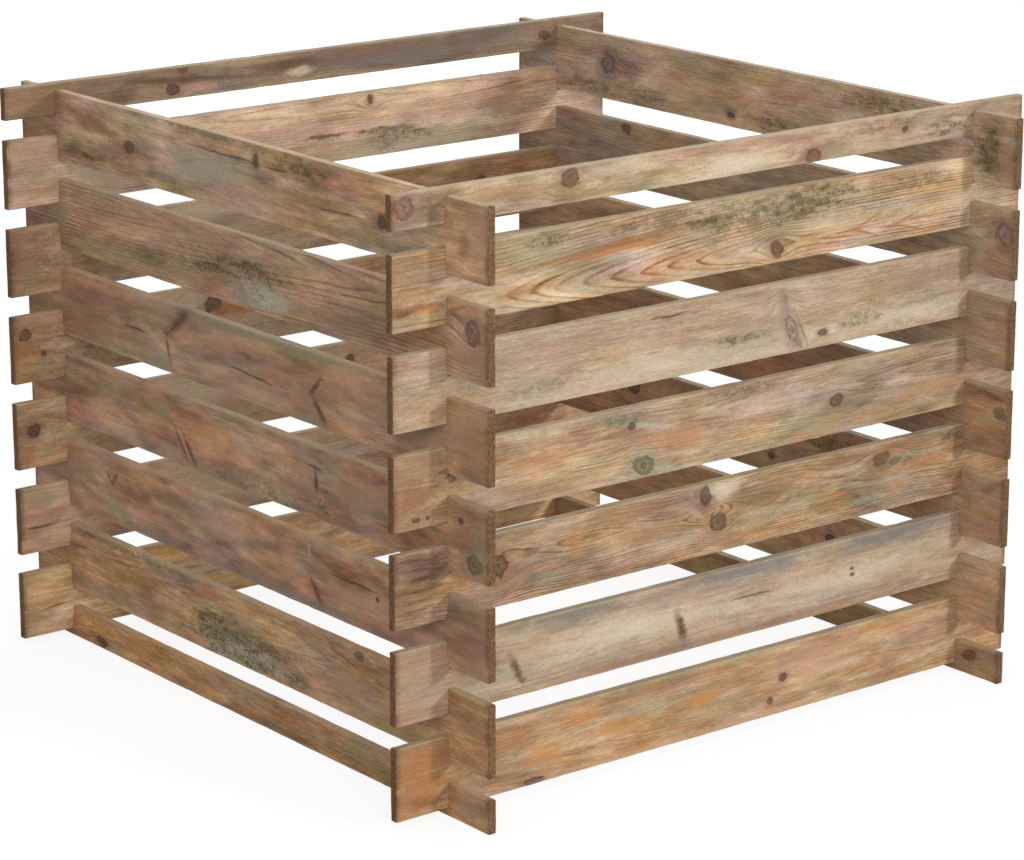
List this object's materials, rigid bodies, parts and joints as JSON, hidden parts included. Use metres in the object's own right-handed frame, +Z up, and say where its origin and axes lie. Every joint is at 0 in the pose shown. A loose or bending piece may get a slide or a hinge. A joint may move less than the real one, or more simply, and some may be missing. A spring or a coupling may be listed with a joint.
{
  "type": "wooden composter",
  "caption": "Square slatted composter of notched pine boards that plug together crosswise at the corners, open at the top and bottom, with air gaps between the boards.",
  "frame": {"origin": "middle of the square footprint, on the ground", "axes": "+X to the right along the front wall, +Y from the front wall to the back wall, +Z up"},
  "size_m": [0.99, 0.99, 0.748],
  "materials": {
    "pine_tan": "sawn pressure-treated pine, tan with brown grain, knots and mould specks, matt",
    "pine_pale": "sawn pressure-treated pine, pale pinkish tan, matt",
    "pine_amber": "sawn pressure-treated pine, amber brown, matt",
    "pine_brown": "sawn pressure-treated pine, weathered mauve-brown, matt",
    "pine_grey": "sawn pressure-treated pine, weathered grey-brown, matt"
  },
  "bodies": {
    "base": {"left_base_board": "pine_amber", "right_base_board": "pine_amber"},
    "front_board_1": {"front_board_1": "pine_amber"},
    "back_board_1": {"back_board_1": "pine_tan"},
    "left_board_1": {"left_board_1": "pine_brown"},
    "right_board_1": {"right_board_1": "pine_brown"},
    "front_board_2": {"front_board_2": "pine_pale"},
    "back_board_2": {"back_board_2": "pine_tan"},
    "left_board_2": {"left_board_2": "pine_brown"},
    "right_board_2": {"right_board_2": "pine_brown"},
    "front_board_3": {"front_board_3": "pine_tan"},
    "back_board_3": {"back_board_3": "pine_tan"},
    "left_board_3": {"left_board_3": "pine_brown"},
    "right_board_3": {"right_board_3": "pine_brown"},
    "front_board_4": {"front_board_4": "pine_tan"},
    "back_board_4": {"back_board_4": "pine_tan"},
    "left_board_4": {"left_board_4": "pine_brown"},
    "right_board_4": {"right_board_4": "pine_brown"},
    "front_board_5": {"front_board_5": "pine_tan"},
    "back_board_5": {"back_board_5": "pine_tan"},
    "left_board_5": {"left_board_5": "pine_brown"},
    "right_board_5": {"right_board_5": "pine_brown"},
    "front_board_6": {"front_board_6": "pine_tan"},
    "back_board_6": {"back_board_6": "pine_tan"},
    "left_board_6": {"left_board_6": "pine_grey"},
    "right_board_6": {"right_board_6": "pine_brown"},
    "front_top_board": {"front_top_board": "pine_pale"},
    "back_top_board": {"back_top_board": "pine_grey"}
  },
  "joints": [
    {"name": "front_board_1_lift", "type": "slide", "parent": "base", "child": "front_board_1", "axis": [0, 0, 1], "range_m": [0, 0.06]},
    {"name": "back_board_1_lift", "type": "slide", "parent": "base", "child": "back_board_1", "axis": [0, 0, 1], "range_m": [0, 0.06]},
    {"name": "left_board_1_lift", "type": "slide", "parent": "front_board_1", "child": "left_board_1", "axis": [0, 0, 1], "range_m": [0, 0.06]},
    {"name": "right_board_1_lift", "type": "slide", "parent": "front_board_1", "child": "right_board_1", "axis": [0, 0, 1], "range_m": [0, 0.06]},
    {"name": "front_board_2_lift", "type": "slide", "parent": "left_board_1", "child": "front_board_2", "axis": [0, 0, 1], "range_m": [0, 0.06]},
    {"name": "back_board_2_lift", "type": "slide", "parent": "left_board_1", "child": "back_board_2", "axis": [0, 0, 1], "range_m": [0, 0.06]},
    {"name": "left_board_2_lift", "type": "slide", "parent": "front_board_2", "child": "left_board_2", "axis": [0, 0, 1], "range_m": [0, 0.06]},
    {"name": "right_board_2_lift", "type": "slide", "parent": "front_board_2", "child": "right_board_2", "axis": [0, 0, 1], "range_m": [0, 0.06]},
    {"name": "front_board_3_lift", "type": "slide", "parent": "left_board_2", "child": "front_board_3", "axis": [0, 0, 1], "range_m": [0, 0.06]},
    {"name": "back_board_3_lift", "type": "slide", "parent": "left_board_2", "child": "back_board_3", "axis": [0, 0, 1], "range_m": [0, 0.06]},
    {"name": "left_board_3_lift", "type": "slide", "parent": "front_board_3", "child": "left_board_3", "axis": [0, 0, 1], "range_m": [0, 0.06]},
    {"name": "right_board_3_lift", "type": "slide", "parent": "front_board_3", "child": "right_board_3", "axis": [0, 0, 1], "range_m": [0, 0.06]},
    {"name": "front_board_4_lift", "type": "slide", "parent": "left_board_3", "child": "front_board_4", "axis": [0, 0, 1], "range_m": [0, 0.06]},
    {"name": "back_board_4_lift", "type": "slide", "parent": "left_board_3", "child": "back_board_4", "axis": [0, 0, 1], "range_m": [0, 0.06]},
    {"name": "left_board_4_lift", "type": "slide", "parent": "front_board_4", "child": "left_board_4", "axis": [0, 0, 1], "range_m": [0, 0.06]},
    {"name": "right_board_4_lift", "type": "slide", "parent": "front_board_4", "child": "right_board_4", "axis": [0, 0, 1], "range_m": [0, 0.06]},
    {"name": "front_board_5_lift", "type": "slide", "parent": "left_board_4", "child": "front_board_5", "axis": [0, 0, 1], "range_m": [0, 0.06]},
    {"name": "back_board_5_lift", "type": "slide", "parent": "left_board_4", "child": "back_board_5", "axis": [0, 0, 1], "range_m": [0, 0.06]},
    {"name": "left_board_5_lift", "type": "slide", "parent": "front_board_5", "child": "left_board_5", "axis": [0, 0, 1], "range_m": [0, 0.06]},
    {"name": "right_board_5_lift", "type": "slide", "parent": "front_board_5", "child": "right_board_5", "axis": [0, 0, 1], "range_m": [0, 0.06]},
    {"name": "front_board_6_lift", "type": "slide", "parent": "left_board_5", "child": "front_board_6", "axis": [0, 0, 1], "range_m": [0, 0.06]},
    {"name": "back_board_6_lift", "type": "slide", "parent": "left_board_5", "child": "back_board_6", "axis": [0, 0, 1], "range_m": [0, 0.06]},
    {"name": "left_board_6_lift", "type": "slide", "parent": "front_board_6", "child": "left_board_6", "axis": [0, 0, 1], "range_m": [0, 0.06]},
    {"name": "right_board_6_lift", "type": "slide", "parent": "front_board_6", "child": "right_board_6", "axis": [0, 0, 1], "range_m": [0, 0.06]},
    {"name": "front_top_board_lift", "type": "slide", "parent": "left_board_6", "child": "front_top_board", "axis": [0, 0, 1], "range_m": [0, 0.06]},
    {"name": "back_top_board_lift", "type": "slide", "parent": "left_board_6", "child": "back_top_board", "axis": [0, 0, 1], "range_m": [0, 0.06]}
  ],
  "couplings": [
    {"joint": "back_board_1_lift", "follows": "front_board_1_lift", "ratio": 1},
    {"joint": "right_board_1_lift", "follows": "left_board_1_lift", "ratio": 1},
    {"joint": "back_board_2_lift", "follows": "front_board_2_lift", "ratio": 1},
    {"joint": "right_board_2_lift", "follows": "left_board_2_lift", "ratio": 1},
    {"joint": "back_board_3_lift", "follows": "front_board_3_lift", "ratio": 1},
    {"joint": "right_board_3_lift", "follows": "left_board_3_lift", "ratio": 1},
    {"joint": "back_board_4_lift", "follows": "front_board_4_lift", "ratio": 1},
    {"joint": "right_board_4_lift", "follows": "left_board_4_lift", "ratio": 1},
    {"joint": "back_board_5_lift", "follows": "front_board_5_lift", "ratio": 1},
    {"joint": "right_board_5_lift", "follows": "left_board_5_lift", "ratio": 1},
    {"joint": "back_board_6_lift", "follows": "front_board_6_lift", "ratio": 1},
    {"joint": "right_board_6_lift", "follows": "left_board_6_lift", "ratio": 1}
  ]
}
